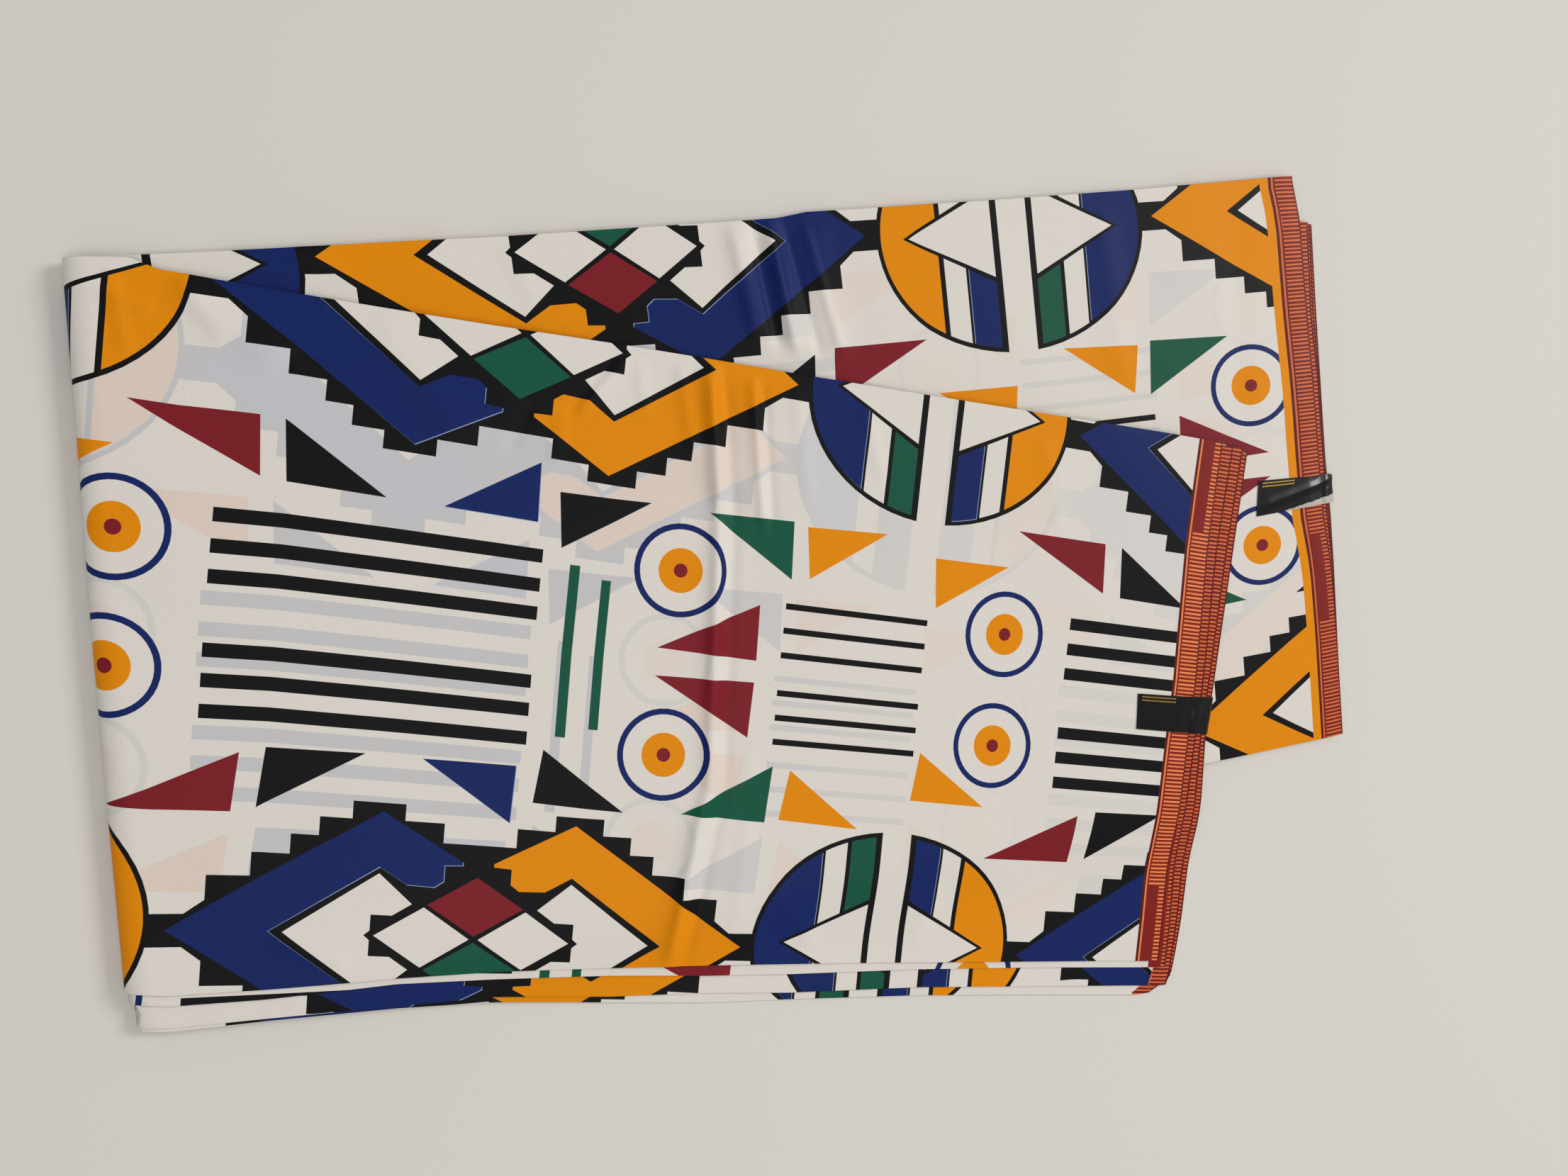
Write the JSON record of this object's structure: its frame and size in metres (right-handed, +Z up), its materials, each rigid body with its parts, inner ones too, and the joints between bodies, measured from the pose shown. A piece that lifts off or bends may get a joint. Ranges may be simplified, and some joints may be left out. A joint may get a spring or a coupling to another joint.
{
  "type": "folded printed cotton cloth",
  "caption": "Folded length of printed cotton cloth lying flat: a spine fold at one end, two halves fanned apart, with stepped fold edges, fanned border ends and foil labels.",
  "frame": {"origin": "middle of the pack's outline, on the surface it rests on", "axes": "+X along the folded strip away from its spine fold, +Y towards the upper long edge, +Z up"},
  "size_m": [0.65, 0.4536, 0.0124],
  "materials": {
    "printed_cotton": "crisp printed cotton with a slight glaze",
    "hidden_plies": "stacked plies of the same cotton",
    "foil_label": "glossy black foil"
  },
  "bodies": {
    "root": {"lower_layers": "hidden_plies", "lower_top_ply": "printed_cotton", "spine_layers": "hidden_plies", "upper_layers": "hidden_plies", "upper_top_ply": "printed_cotton", "lower_seal": "foil_label", "upper_seal": "foil_label"}
  },
  "joints": []
}
